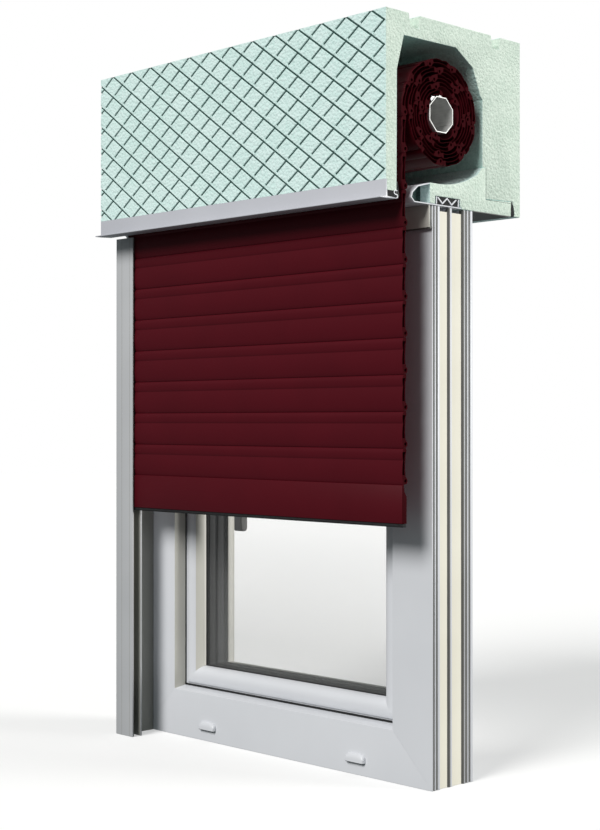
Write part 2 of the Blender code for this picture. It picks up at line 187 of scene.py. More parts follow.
def loft(name, rings, finish, body, closed=False, **more):
    """A piece that bridges equal rings of points."""
    shape = bmesh.new()
    skin(shape, rings, closed)
    make_piece(name, shape, finish, body, **more)


def along_x(name, outline, start, end, finish, body):
    """A straight piece along X, with an outline of (depth, height) points."""
    loft(name, [[at(x, d, h) for d, h in outline] for x in (start, end)], finish, body)


def along_y(name, outline, start, end, finish, body):
    """A straight piece along Y, with an outline of (x, height) points."""
    loft(name, [[at(x, d, h) for x, h in outline] for d in (start, end)], finish, body)


def along_z(name, outline, start, end, finish, body):
    """An upright piece, with an outline of (x, depth) points."""
    loft(name, [[at(x, d, h) for x, d in outline] for h in (start, end)], finish, body)


def sharp_copy(node):
    """A bmesh of a CAD node's shape, with each flat face whole again."""
    shape = bmesh.new()
    shape.from_mesh(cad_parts[node].data)
    bmesh.ops.remove_doubles(shape, verts=shape.verts, dist=SAME_PLACE)
    bmesh.ops.dissolve_limit(shape, angle_limit=FLAT, verts=shape.verts, edges=shape.edges)
    return shape


def is_sharp(edge):
    return len(edge.link_faces) == 2 and edge.calc_face_angle(0) > SHARP


def bevel(shape, edges, width, segments):
    bmesh.ops.bevel(shape, geom=edges, offset=width * MM, segments=segments, profile=0.5,
                    affect="EDGES", clamp_overlap=True)


def is_lengthwise(edge):
    """True for an edge that runs straight along one axis."""
    along = (edge.verts[1].co - edge.verts[0].co).normalized()
    return max(abs(c) for c in along) > 0.9999


def soften(node, width, finish, body, segments=2, lengthwise=False, cut=False, weld=None):
    """A copy of a CAD node with its sharp edges rounded, which stands for the node. A cut piece has its
    second finish on the face at the right end of the sample. A weld axis closes the seams at the mitres."""
    shape = sharp_copy(node)
    edges = [e for e in shape.edges if is_sharp(e) and (not lengthwise or is_lengthwise(e))]
    bevel(shape, edges, width, segments)
    if cut:
        mark_cut_face(shape)
    if weld is not None:
        middle = sum(v.co[weld] for v in shape.verts) / len(shape.verts)
        for vert in shape.verts:
            vert.co[weld] += math.copysign(WELD_REACH * MM, vert.co[weld] - middle)
    return make_piece(node + "_body", shape, finish, body, replaces=(node,), smooth=40.0)


def mark_cut_face(shape):
    """Gives the face at the right end of the sample the second finish."""
    for face in shape.faces:
        if face.normal.x > 0.9 and face.calc_center_median().x > (RIGHT - CUT_BAND) * MM:
            face.material_index = 1


def mark_right_side(piece, back_from=-math.inf):
    """Gives the faces that look to the right the second finish, from a depth backwards. On the window's
    left bars and on the rail that finish is painted shade.
    """
    for face in piece.data.polygons:
        if face.normal.x > 0.6 and face.center.y > (back_from + FRONT_Y) * MM:
            face.material_index = 1


def ring_round(name, section, finish, body, replaces=(), tucked=math.inf):
    """A section of (inset, depth) points carried all round the window. At the left and the top no point
    comes further in than the tucked inset."""
    rings = []
    for at_right, at_top in ((False, False), (True, False), (True, True), (False, True)):
        ring = []
        for inset, depth in section:
            x = RIGHT - inset if at_right else LEFT + min(inset, tucked)
            height = FRAME_TOP - min(inset, tucked) if at_top else inset
            ring.append(at(x, depth, height))
        rings.append(ring)
    loft(name, rings, finish, body, closed=True, replaces=replaces)


def screw_heads(name, spots, radius, facing, finish, body):
    """Countersunk cross-head screws. facing is the way the heads look, as a unit vector."""
    out = Vector(facing)
    side = out.orthogonal().normalized()
    up = out.cross(side)
    shape = bmesh.new()
    for spot in spots:
        rings = []
        for reach, rise in SCREW_PROFILE:
            rings.append([spot + (side * d + up * h) * MM + out * rise * MM
                          for d, h in circle((0, 0), radius * reach, SCREW_SIDES)])
        top = spot + out * SCREW_PROFILE[-1][1] * MM
        cross = [top + (side * d + up * h) * radius * MM for d, h in cross_outline()]
        floor = [point - out * CROSS_DEPTH * MM for point in cross]
        rows = skin(shape, rings + [cross, floor], caps=False)
        shape.faces.new(rows[0])
        shape.faces.new(rows[-1])
    bmesh.ops.remove_doubles(shape, verts=shape.verts, dist=SAME_PLACE)
    make_piece(name, shape, finish, body)


def cross_outline():
    """A screw's cross. Its inner corners are doubled, so that it has as many points as the head."""
    wide, reach = CROSS_HALF_WIDTH, CROSS_REACH
    points = []
    for k in range(4):
        c, s = math.cos(math.pi / 2 * k), math.sin(math.pi / 2 * k)
        for a, b in ((wide, -wide), (reach, -wide), (reach, wide), (wide, wide), (wide, wide)):
            points.append((a * c - b * s, a * s + b * c))
    return points


# ---------------------------------------------------------------- materials

class Nodes:
    """Small helper for writing a material's node tree."""

    def __init__(self, name):
        self.material = bpy.data.materials.new(name)
        self.material.use_nodes = True
        self.tree = self.material.node_tree
        self.shader = self.tree.nodes["Principled BSDF"]
        self.place = self.add("ShaderNodeTexCoord").outputs["Object"]

    def add(self, kind, **settings):
        node = self.tree.nodes.new(kind)
        for key, value in settings.items():
            if key in ("data_type", "operation", "feature"):
                setattr(node, key, value)
            else:
                self.put(node.inputs[key.replace("_", " ")], value)
        return node

    def put(self, socket, value):
        if isinstance(value, bpy.types.NodeSocket):
            self.tree.links.new(value, socket)
        elif isinstance(value, (tuple, list)) and len(value) == 3 and socket.type == "RGBA":
            socket.default_value = (*value, 1.0)
        else:
            socket.default_value = value

    def set(self, **values):
        for key, value in values.items():
            self.put(self.shader.inputs[key.replace("_", " ")], value)

    def noise(self, scale, detail=3.0, roughness=0.5, place=None):
        node = self.add("ShaderNodeTexNoise", Scale=scale, Detail=detail, Roughness=roughness)
        self.put(node.inputs["Vector"], place or self.place)
        return node.outputs["Fac"]

    def stretched(self, factors):
        node = self.add("ShaderNodeVectorMath", operation="MULTIPLY")
        self.put(node.inputs[0], self.place)
        node.inputs[1].default_value = factors
        return node.outputs["Vector"]

    def cells(self, scale, feature="F1"):
        node = self.add("ShaderNodeTexVoronoi", feature=feature, Scale=scale)
        self.put(node.inputs["Vector"], self.place)
        return node.outputs["Distance"]

    def ramp(self, value, low, high, to_low=0.0, to_high=1.0):
        node = self.add("ShaderNodeMapRange")
        self.put(node.inputs["Value"], value)
        for key, number in (("From Min", low), ("From Max", high), ("To Min", to_low), ("To Max", to_high)):
            node.inputs[key].default_value = number
        return node.outputs["Result"]

    def math(self, operation, first, second=0.0):
        node = self.add("ShaderNodeMath", operation=operation)
        self.put(node.inputs[0], first)
        self.put(node.inputs[1], second)
        return node.outputs[0]

    def mix(self, amount, first, second):
        node = self.add("ShaderNodeMix", data_type="RGBA")
        self.put(node.inputs[0], amount)
        self.put(node.inputs[6], first)
        self.put(node.inputs[7], second)
        return node.outputs[2]

    def bump(self, height, strength, distance):
        node = self.add("ShaderNodeBump", Strength=strength, Distance=distance)
        self.put(node.inputs["Height"], height)
        self.put(self.shader.inputs["Normal"], node.outputs["Normal"])


def edge_highlight(nodes, amount):
    """Painted highlight along convex edges, from the mesh's pointiness."""
    geometry = nodes.add("ShaderNodeNewGeometry")
    return nodes.ramp(geometry.outputs["Pointiness"], 0.51, 0.56, 0.0, amount)


def foam_material(name, light, dark):
    """Moulded bead foam: fused beads a few millimetres across, mottled colour and fine pits."""
    nodes = Nodes(name)
    beads_per_metre = 260.0
    beads = nodes.cells(beads_per_metre)
    seams = nodes.cells(beads_per_metre, "DISTANCE_TO_EDGE")
    mottle = nodes.noise(240.0, 4.0, 0.65)
    cloud = nodes.noise(28.0, 2.0)
    tone = nodes.math("ADD", nodes.ramp(mottle, 0.36, 0.66, 0.0, 0.75),
                      nodes.ramp(cloud, 0.4, 0.6, 0.0, 0.25))
    colour = nodes.mix(tone, dark, light)
    seam = nodes.ramp(seams, 0.0, 0.12, 0.22, 0.0)
    nodes.set(Base_Color=nodes.mix(seam, colour, dark), Roughness=nodes.ramp(mottle, 0.3, 0.7, 0.8, 0.95))
    nodes.shader.inputs["Specular IOR Level"].default_value = 0.2
    nodes.shader.inputs["Sheen Weight"].default_value = 0.08
    height = nodes.math("SUBTRACT", nodes.math("MULTIPLY", mottle, 1.4), nodes.math("MULTIPLY", beads, 0.8))
    nodes.bump(height, 0.6, 0.0020)
    return nodes.material


def plastic_material(name, light, dark, roughness=0.38):
    """Extruded window plastic: faint lines along the extrusion, slight cloudiness and a satin skin."""
    nodes = Nodes(name)
    cloud = nodes.noise(9.0, 3.0)
    fine = nodes.noise(900.0, 2.0)
    nodes.set(Base_Color=nodes.mix(nodes.ramp(cloud, 0.35, 0.65), dark, light),
              Roughness=nodes.ramp(fine, 0.3, 0.7, roughness - 0.05, roughness + 0.07))
    nodes.shader.inputs["Specular IOR Level"].default_value = 0.45
    nodes.bump(fine, 0.12, 0.0002)
    return nodes.material


def paint_material(name, dark, light, highlight):
    """Burgundy stove enamel on thin aluminium: fine leather grain, a soft gloss and a painted highlight
    along the edges.
    """
    nodes = Nodes(name)
    cloud = nodes.noise(14.0, 2.0)
    grain = nodes.noise(1500.0, 2.0, 0.6)
    colour = nodes.mix(nodes.ramp(cloud, 0.35, 0.65), dark, light)
    nodes.set(Base_Color=nodes.mix(edge_highlight(nodes, 0.5), colour, highlight),
              Roughness=nodes.ramp(grain, 0.3, 0.7, 0.38, 0.48))
    nodes.shader.inputs["Specular IOR Level"].default_value = 0.12
    nodes.bump(grain, 0.10, 0.00015)
    return nodes.material


def end_shade_material(name, dark, light):
    """Ends of painted slats: thin walls in a darker red than the enamel, as painted shade, that catch
    hardly any light.
    """
    nodes = Nodes(name)
    grain = nodes.noise(900.0, 2.0, 0.6)
    nodes.set(Base_Color=nodes.mix(nodes.ramp(grain, 0.35, 0.65), dark, light), Roughness=0.75)
    nodes.shader.inputs["Specular IOR Level"].default_value = 0.04
    return nodes.material


def rubber_material(name):
    """Black seal rubber with a dull, slightly uneven skin."""
    nodes = Nodes(name)
    fine = nodes.noise(700.0, 3.0)
    colour = nodes.mix(nodes.ramp(fine, 0.35, 0.65), (0.012, 0.012, 0.013), (0.030, 0.031, 0.032))
    nodes.set(Base_Color=colour, Roughness=nodes.ramp(fine, 0.3, 0.7, 0.6, 0.75))
    nodes.shader.inputs["Specular IOR Level"].default_value = 0.12
    nodes.bump(fine, 0.25, 0.0003)
    return nodes.material


def pile_material(name):
    """Short brush pile: streaks that run out of the seal's base."""
    nodes = Nodes(name)
    streaks = nodes.noise(3000.0, 2.0, place=nodes.stretched((1.0, 0.15, 0.15)))
    colour = nodes.mix(nodes.ramp(streaks, 0.3, 0.7), (0.006, 0.006, 0.007), (0.05, 0.05, 0.052))
    nodes.set(Base_Color=colour, Roughness=0.85)
    nodes.shader.inputs["Sheen Weight"].default_value = 0.3
    nodes.bump(streaks, 0.6, 0.0006)
    return nodes.material


def steel_material(name, light=(0.62, 0.63, 0.64), dark=(0.44, 0.45, 0.46), roughness=0.34, metallic=1.0):
    """Zinc-plated strip steel: rolling lines along X and a faint spangle."""
    nodes = Nodes(name)
    lines = nodes.noise(700.0, 3.0, place=nodes.stretched((0.02, 1.0, 1.0)))
    spangle = nodes.cells(90.0)
    tone = nodes.math("ADD", nodes.math("MULTIPLY", lines, 0.6), nodes.math("MULTIPLY", spangle, 0.4))
    nodes.set(Base_Color=nodes.mix(nodes.ramp(tone, 0.3, 0.6), dark, light), Metallic=metallic,
              Roughness=nodes.ramp(lines, 0.3, 0.7, roughness - 0.06, roughness + 0.10))
    nodes.bump(lines, 0.12, 0.0002)
    return nodes.material


def coat_material(name, light, dark, roughness=0.42, gloss=0.5):
    """Powder coat with a fine orange peel."""
    nodes = Nodes(name)
    nodes.shader.inputs["Specular IOR Level"].default_value = gloss
    peel = nodes.noise(420.0, 2.0)
    nodes.set(Base_Color=nodes.mix(nodes.ramp(peel, 0.35, 0.65), dark, light),
              Roughness=nodes.ramp(peel, 0.3, 0.7, roughness - 0.05, roughness + 0.05))
    nodes.bump(peel, 0.15, 0.0003)
    return nodes.material


def glass_material(name):
    """Clear float glass with a very faint grey tone, and painted shade that grows towards the bottom of the
    pane.
    """
    nodes = Nodes(name)
    haze = nodes.noise(6.0, 2.0)
    split = nodes.add("ShaderNodeSeparateXYZ")
    nodes.put(split.inputs[0], nodes.add("ShaderNodeTexCoord").outputs["Generated"])
    nodes.set(Base_Color=nodes.mix(nodes.ramp(haze, 0.3, 0.7), (0.30, 0.31, 0.31), (0.36, 0.37, 0.37)),
              Roughness=0.05, Transmission_Weight=0.3, IOR=1.45,
              # less clear towards the bottom: painted shade
              Alpha=nodes.ramp(split.outputs["Z"], 0.1, 0.4, 0.085, 0.016))
    return nodes.material


FINISH = {
    "foam": foam_material("foam_skin", (0.83, 0.99, 0.975), (0.66, 0.89, 0.85)),
    "foam_cut": foam_material("foam_cut_face", (0.76, 0.86, 0.77), (0.57, 0.69, 0.60)),
    # dark green foam for the grooves' floors: painted shade
    "foam_groove_shade": foam_material("foam_groove_shade", (0.050, 0.110, 0.098), (0.022, 0.060, 0.053)),
    # darker foam for the inside of the cavity: painted shade
    "foam_cavity_shade": foam_material("foam_cavity_shade", (0.66, 0.88, 0.82), (0.46, 0.70, 0.64)),
    # very dark foam: painted shade in the nose's hollow, and the dark joint between shell and block
    "foam_core": foam_material("foam_core", (0.050, 0.095, 0.085), (0.018, 0.042, 0.036)),
    "pvc": plastic_material("window_pvc", (0.70, 0.715, 0.755), (0.675, 0.69, 0.73)),
    "rail": plastic_material("rail_pvc", (0.51, 0.52, 0.54), (0.48, 0.49, 0.51)),
    # darker rail plastic: painted shade on the rail's right side and in its slot, and the colour of its
    # chamber lines
    "rail_inner": plastic_material("rail_shade_and_line_pvc", (0.34, 0.34, 0.315), (0.31, 0.31, 0.285), 0.5),
    "strip": plastic_material("strip_pvc", (0.55, 0.56, 0.61), (0.52, 0.53, 0.58), 0.32),
    "cream": plastic_material("channel_floor", (0.80, 0.77, 0.66), (0.76, 0.73, 0.62), 0.55),
    # beige plastic of the glazing bead, also used as painted shade on the flange and on the left bars'
    # right-looking faces
    "bead": plastic_material("bead_pvc_and_painted_shade", (0.58, 0.57, 0.52), (0.55, 0.54, 0.49), 0.45),
    # dark grey: painted shade under the box, on the channels' rear walls and on the flange's seal
    "shade": plastic_material("painted_shade_grey", (0.125, 0.125, 0.12), (0.105, 0.105, 0.10), 0.55),
    # Enamel: its third colour is the painted highlight along the slats' edges.
    "paint": paint_material("slat_enamel", (0.044, 0.0006, 0.0022), (0.055, 0.0009, 0.0031),
                            (0.105, 0.008, 0.016)),
    # darker red for the slats' cut ends: painted shade
    "paint_end_shade": end_shade_material("slat_end_painted_shade", (0.026, 0.0005, 0.0018), (0.044, 0.0010, 0.0034)),
    "rubber": rubber_material("seal_rubber"),
    "pile": pile_material("seal_pile"),
    "steel": steel_material("tube_steel"),
    "zinc": steel_material("tube_zinc", (0.66, 0.66, 0.65), (0.52, 0.52, 0.51), 0.5, 0.35),
    "dark_steel": steel_material("motor_steel", (0.42, 0.43, 0.44), (0.30, 0.31, 0.32), 0.4),
    "nylon": coat_material("motor_nylon", (0.030, 0.030, 0.033), (0.018, 0.018, 0.020), 0.5),
    "yellow": coat_material("screw_yellow", (0.72, 0.60, 0.06), (0.62, 0.50, 0.04), 0.35),
    "spacer": coat_material("spacer_bar", (0.066, 0.067, 0.068), (0.052, 0.053, 0.054), 0.75, 0.06),
    "handle": coat_material("handle_coat", (0.15, 0.15, 0.148), (0.12, 0.12, 0.118), 0.38),
    "glass": glass_material("pane_glass"),
}


def paint_nodes(finish, *names):
    """Gives carried-over CAD nodes a finish."""
    for name in names:
        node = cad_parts[name]
        node.data.materials.clear()
        node.data.materials.append(FINISH[finish])


# ---------------------------------------------------------------- stage, light and camera

FLOOR_RADIUS = 12.0          # metres
FLOOR_SIDES = 64
CAMERA_PLACE = at(RIGHT + 1273.7, -1382.9, 458.4)
CAMERA_TURN = 45.80          # degrees from straight ahead towards the left
CAMERA_PITCH = 0.238
FOCAL_PIXELS = 1562.4
IMAGE_HEIGHT = 830


def add_sun(name, to_light, strength, spread, colour):
    data = bpy.data.lights.new(name, "SUN")
    data.energy = strength
    data.angle = math.radians(spread)
    data.color = colour
    lamp = bpy.data.objects.new(name, data)
    lamp.rotation_euler = Vector(to_light).to_track_quat("Z", "Y").to_euler()
    bpy.context.scene.collection.objects.link(lamp)


def make_world():
    """A white backdrop for the camera and through the glass, and a much weaker fill light for the rest."""
    scene = bpy.context.scene
    scene.view_settings.view_transform = "Standard"
    world = bpy.data.worlds.new("studio")
    scene.world = world
    world.use_nodes = True
    tree = world.node_tree
    fill = tree.nodes["Background"]
    fill.inputs["Color"].default_value = (0.88, 0.98, 0.98, 1.0)
    fill.inputs["Strength"].default_value = 0.16
    backdrop = tree.nodes.new("ShaderNodeBackground")
    backdrop.inputs["Color"].default_value = (1.0, 1.0, 1.0, 1.0)
    backdrop.inputs["Strength"].default_value = 1.0
    rays = tree.nodes.new("ShaderNodeLightPath")
    seen = tree.nodes.new("ShaderNodeMath")
    seen.operation = "MAXIMUM"
    choose = tree.nodes.new("ShaderNodeMixShader")
    tree.links.new(rays.outputs["Is Camera Ray"], seen.inputs[0])
    tree.links.new(rays.outputs["Is Transmission Ray"], seen.inputs[1])
    tree.links.new(seen.outputs[0], choose.inputs[0])
    tree.links.new(fill.outputs[0], choose.inputs[1])
    tree.links.new(backdrop.outputs[0], choose.inputs[2])
    tree.links.new(choose.outputs[0], tree.nodes["World Output"].inputs["Surface"])


def floor_material():
    """Matt grey paper that glows enough to come out nearly white, with soft shadows."""
    nodes = Nodes("pale_floor")
    nodes.set(Base_Color=(0.6, 0.6, 0.6), Roughness=0.9)
    nodes.shader.inputs["Emission Color"].default_value = (1, 1, 1, 1)
    nodes.shader.inputs["Emission Strength"].default_value = 0.46
    nodes.shader.inputs["Specular IOR Level"].default_value = 0.0
    return nodes.material


def make_floor():
    shape = bmesh.new()
    shape.faces.new([shape.verts.new((x, y, 0)) for x, y in circle((0, 0), FLOOR_RADIUS, FLOOR_SIDES)])
    mesh = bpy.data.meshes.new("floor")
    shape.to_mesh(mesh)
    shape.free()
    mesh.materials.append(floor_material())
    floor = bpy.data.objects.new("floor", mesh)
    floor.location.z = -0.0002
    floor.visible_diffuse = False
    floor.visible_glossy = False
    bpy.context.scene.collection.objects.link(floor)


def make_stage():
    make_world()
    add_sun("key_light", (0.09, -0.80, 0.60), 2.9, 27, (1.0, 0.985, 0.96))
    add_sun("side_light", (0.80, 0.55, 0.22), 3.15, 25, (1.0, 0.99, 0.965))
    make_floor()


def make_camera():
    data = bpy.data.cameras.new("camera")
    data.lens = FOCAL_PIXELS / IMAGE_HEIGHT * data.sensor_width
    data.clip_end = 50
    camera = bpy.data.objects.new("camera", data)
    camera.location = CAMERA_PLACE
    turn = math.radians(CAMERA_TURN)
    pitch = math.radians(CAMERA_PITCH)
    ahead = Vector((-math.sin(turn) * math.cos(pitch), math.cos(turn) * math.cos(pitch), math.sin(pitch)))
    camera.rotation_euler = ahead.to_track_quat("-Z", "Y").to_euler()
    bpy.context.scene.collection.objects.link(camera)
    bpy.context.scene.camera = camera


# ---------------------------------------------------------------- foam box

GROOVE_RUN = 42.7            # width of a diamond of the plaster key
GROOVE_RISE = 30.0           # height of a diamond
GROOVE_DEPTH = 1.3
TIP_INSET = 3.5              # the grooves stop this far from the right end
TIP_HEIGHT = BOX_TOP - 14.9
KEY_BOTTOM = span("plaster_strip")[1][2]
ROOT_DEPTH = GROOVE_DEPTH + 0.1
PAD_RINGS = ((1.15, ROOT_DEPTH), (1.2, 0.55), (1.75, 0.0))   # a pad's inset from its diamond, and depth
BRIDGE_PLACE = 3.3           # a bridge fills each groove this far past a crossing
BRIDGE_HALF = (1.3, 1.25)    # half its length and half its width
BRIDGE_DEPTH = 0.12
TOP_GROOVE_BAND = (14.0, 0.8)    # the grooves in the top lie between these distances below it,
TOP_EDGE = 5.0               # and this far or more from the box's front and back


def clip(outline, normal, limit):
    """The part of a convex outline where the product with the normal is at most the limit."""
    kept = []
    for i, here in enumerate(outline):
        before = outline[i - 1]
        a = before[0] * normal[0] + before[1] * normal[1] - limit
        b = here[0] * normal[0] + here[1] * normal[1] - limit
        if (a <= 0) != (b <= 0):
            t = a / (a - b)
            kept.append((before[0] + (here[0] - before[0]) * t, before[1] + (here[1] - before[1]) * t))
        if b <= 0:
            kept.append(here)
    return kept


def hull(shape, points):
    """Adds the convex hull of some points to a bmesh, as a closed body."""
    verts = [shape.verts.new(point) for point in points]
    bmesh.ops.convex_hull(shape, input=verts)
    unused = [v for v in verts if v.is_valid and not v.link_faces]
    bmesh.ops.delete(shape, geom=unused, context="VERTS")


def key_pad(shape, centre, field, sides):
    """One raised diamond of the plaster key: the field, cut by the given sides of the diamond."""
    slope = Vector((GROOVE_RISE, GROOVE_RUN)).normalized()
    reach = slope.x * GROOVE_RUN / 2
    points = []
    for inset, depth in PAD_RINGS:
        outline = field
        for sx, sz in sides:
            normal = (slope.x * sx, slope.y * sz)
            outline = clip(outline, normal, normal[0] * centre[0] + normal[1] * centre[1] + reach - inset)
        points += [at(x, depth, z) for x, z in outline]
    if len(points) >= 3 * len(PAD_RINGS):
        hull(shape, points)


def plaster_key(shape):
    """Diamonds over the whole front, with the plain border at the right end, and small bridges."""
    tip = RIGHT - TIP_INSET
    columns = math.ceil((tip - LEFT) / (GROOVE_RUN / 2)) + 1
    rows = math.ceil((BOX_TOP - KEY_BOTTOM) / GROOVE_RISE) + 2
    field = rectangle((LEFT, KEY_BOTTOM), (RIGHT, BOX_TOP))
    for column in range(columns + 1):
        x = tip - column * GROOVE_RUN / 2
        for row in range(-rows, 3):
            z = TIP_HEIGHT + row * GROOVE_RISE + (GROOVE_RISE / 2 if column % 2 == 0 else 0)
            if column == 0:
                band = clip(clip(field, (0, 1), z + GROOVE_RISE / 2), (0, -1), -z + GROOVE_RISE / 2)
                if len(band) >= 3:
                    key_pad(shape, (x, z), band, [(-1, 1), (-1, -1)])
            else:
                key_pad(shape, (x, z), field, [(-1, 1), (-1, -1), (1, 1), (1, -1)])
                key_bridge(shape, Vector((x + GROOVE_RUN / 2, z)), tip)


def key_bridge(shape, crossing, tip):
    """A small bridge of foam across the groove that rises to the right from a crossing."""
    along = Vector((GROOVE_RUN, GROOVE_RISE)).normalized()
    across = Vector((-along.y, along.x))
    length, width = BRIDGE_HALF
    middle = crossing + along * BRIDGE_PLACE
    corners = [middle + along * a + across * b for a in (-length, length) for b in (-width, width)]
    if all(LEFT + 1 < c.x < tip and KEY_BOTTOM + 1 < c.y < BOX_TOP - 1 for c in corners):
        hull(shape, [at(c.x, d, c.y) for c in corners for d in (BRIDGE_DEPTH, ROOT_DEPTH)])


def foam_shell():
    """The box: its section with the key's base plane sunk, and the raised diamonds in front of it."""
    shape = sharp_copy("foam_shell")
    behind_front = (FRONT_Y + 2.5) * MM
    edges = [e for e in shape.edges if min(v.co.y for v in e.verts) > behind_front and is_sharp(e)]
    bevel(shape, edges, 0.7, 2)
    for vert in shape.verts:
        if abs(vert.co.y - FRONT_Y * MM) < 10 * SAME_PLACE and vert.co.z > (KEY_BOTTOM - 0.6) * MM:
            vert.co.y += GROOVE_DEPTH * MM
    for face in shape.faces:
        centre = face.calc_center_median()
        depth = centre.y / MM - FRONT_Y
        # the grooves' floors, on the sunk base plane, get painted shade
        if face.normal.y < -0.9 and depth < ROOT_DEPTH:
            face.material_index = 2
        # the cavity's inside gets a darker foam as painted shade
        elif abs(face.normal.x) < 0.3 and inside_cavity(depth, centre.z / MM):
            face.material_index = 3
        elif in_top_groove(depth, centre.z / MM):
            face.material_index = 1
    plaster_key(shape)
    mark_cut_face(shape)
    make_piece("foam_box", shape, ("foam", "foam_cut", "foam_groove_shade", "foam_cavity_shade"), "frame",
               replaces=("foam_shell",), smooth=20.0)


def inside_cavity(depth, height):
    return 18 < depth < 190 and BOX_BOTTOM + 20 < height < BOX_TOP - 20


def in_top_groove(depth, height):
    low, high = TOP_GROOVE_BAND
    return BOX_TOP - low < height < BOX_TOP - high and TOP_EDGE < depth < BOX_DEPTH - TOP_EDGE


# ---------------------------------------------------------------- curtain and roll

# The slat's section as (height above its lower joint, depth from its front) points.
SLAT_FRONT = [(-0.7, 2.7), (0.4, 2.0), (4, 1.0), (10, 0.25), (16, 0.0), (22, 0.3), (27, 0.95), (29.6, 1.45),
              (30.2, 1.4), (31.2, 0.95), (34, 0.45), (38, 0.35), (41, 0.9), (43.6, 2.1), (44.3, 3.4),
              (45.2, 3.5)]
SLAT_REAR = [(45.2, 6.6), (42.5, 7.4), (40, 7.2), (36, 6.1), (30, 5.7), (22, 5.3), (14, 5.5), (10, 6.7),
             (7.5, 8.7), (5, 9.6), (2.6, 9.2), (0.6, 7.4)]
SLAT_LIP = [(0.6, 3.3), (-0.7, 3.2)]
SLAT_WALL = 0.55
SLAT_MIDDLE = 3.0            # the roll's path lies this far from the slats' fronts
HOLLOW = (12.0, 40.0)        # the slat is hollow between these heights
HOLLOW_STEPS = 14
HOOK_BORE = ((4.7, 6.2), 2.2)    # centre and radius of the round channel in the slat's hook
ROLL_START = 10.5            # the roll begins this far below the tube's axis
ROLL_FRONT = AXIS[0] - CURTAIN_FRONT
ROLL_RADIUS = 71.5
LAYER = 9.5
ROLL_TURNS = (9, 17, 24, 29)     # how many rolled slats there are after each turn
ROLL_SLATS = ROLL_TURNS[-1]


def height_on(line, t):
    """Second number of a line of points at first number t."""
    for a, b in zip(line, line[1:]):
        if min(a[0], b[0]) <= t <= max(a[0], b[0]) and a[0] != b[0]:
            return a[1] + (b[1] - a[1]) * (t - a[0]) / (b[0] - a[0])
    return line[-1][1]


def slat_outlines():
    """A slat's outline in (height above its lower joint, depth from its front), and its hollows."""
    front = smooth_path(SLAT_FRONT[:8]) + smooth_path(SLAT_FRONT[8:-2]) + SLAT_FRONT[-2:]
    rear = smooth_path(SLAT_REAR)
    low, high = HOLLOW
    steps = [low + (high - low) * i / HOLLOW_STEPS for i in range(HOLLOW_STEPS + 1)]
    hollow = [(t, height_on(front, t) + SLAT_WALL) for t in steps]
    hollow += [(t, height_on(rear, t) - SLAT_WALL) for t in reversed(steps)]
    hook = circle(*HOOK_BORE, 12)
    return front + rear + SLAT_LIP, [hollow, hook]


def slat_template():
    """Points of the slat's section, how many of them each outline has, and triangles that fill it."""
    shape = bmesh.new()
    outer, holes = slat_outlines()
    loops = []
    for outline in [outer] + holes:
        verts = [shape.verts.new((t, n, 0)) for t, n in outline]
        loops.append(len(verts))
        for i, vert in enumerate(verts):
            shape.edges.new((vert, verts[(i + 1) % len(verts)]))
    bmesh.ops.triangle_fill(shape, use_beauty=True, edges=shape.edges)
    shape.verts.index_update()
    points = [(v.co.x, v.co.y) for v in shape.verts]
    triangles = [tuple(v.index for v in face.verts) for face in shape.faces]
    shape.free()
    return points, loops, triangles


def add_slat(shape, template, place, left, right):
    """Adds one slat. place turns (height along the curtain, depth from its front) into a section point."""
    points, loops, triangles = template
    ends = []
    for x in (left, right):
        ends.append([shape.verts.new(at(x, *place(t, n))) for t, n in points])
    for end in ends:
        for a, b, c in triangles:
            # the slat's end faces take the second finish, the painted shade of the ends
            shape.faces.new((end[a], end[b], end[c])).material_index = 1
    first = 0
    for count in loops:
        for i in range(count):
            j = first + (i + 1) % count
            shape.faces.new((ends[0][first + i], ends[0][j], ends[1][j], ends[1][first + i]))
        first += count


def roll_path():
    """Angles and radii along the rolled curtain, one for each millimetre after its start."""
    line = []
    angle = 0.0
    for _ in range(ROLL_SLATS * int(SLAT_PITCH) + 20):
        ease = max(0.0, 1 - angle / (math.pi / 2))
        radius = ROLL_RADIUS + (ROLL_FRONT - ROLL_RADIUS) * ease - LAYER * angle / (2 * math.pi)
        line.append((angle, radius))
        angle += 1 / (radius - SLAT_MIDDLE)
    return line


def roll_place(path):
    """A function from a place along the rolled curtain to its section point."""
    def place(along, inward):
        if along < 0:
            return AXIS[0] - ROLL_FRONT + inward, AXIS[1] + along
        i = min(int(along), len(path) - 2)
        t = along - i
        angle = path[i][0] * (1 - t) + path[i + 1][0] * t
        radius = path[i][1] * (1 - t) + path[i + 1][1] * t - inward
        return AXIS[0] - radius * math.cos(angle), AXIS[1] + radius * math.sin(angle)
    return place


def curtain():
    """Hanging slats, one piece each, and the rolled slats, one piece for each of the four windings."""
    template = slat_template()
    finishes = ("paint", "paint_end_shade")
    for index in range(SLATS):
        joint = LOWEST_JOINT + index * SLAT_PITCH
        shape = bmesh.new()
        add_slat(shape, template, lambda t, n: (CURTAIN_FRONT + n, joint + t), CURTAIN_LEFT, CURTAIN_RIGHT)
        make_piece(f"curtain_slat_{index + 1:02d}", shape, finishes, "curtain",
                   replaces=(f"slat_{index + 1:02d}",), smooth=45.0)
    place = roll_place(roll_path())
    first = 0
    for turn, last in enumerate(ROLL_TURNS, 1):
        shape = bmesh.new()
        for index in range(first, last):
            start = index * SLAT_PITCH - ROLL_START
            add_slat(shape, template, lambda t, n: place(start + t, n), CURTAIN_LEFT, CURTAIN_RIGHT)
        make_piece(f"rolled_slats_{turn}", shape, finishes, "tube", replaces=(f"winding_{turn}",),
                   smooth=45.0)
        first = last


TUBE_WALL = 1.3
TUBE_EDGE = 2.0              # radius of the octagon's edges
SEAM_RADIUS = 2.2


def tube_corner(index):
    """A corner of the octagon, counted from the one at the back just above the axis."""
    angle = 22.5 + 45 * index
    return arc(AXIS, TUBE_FLATS / 2 / math.cos(math.pi / 8), angle, angle, 1)[0]


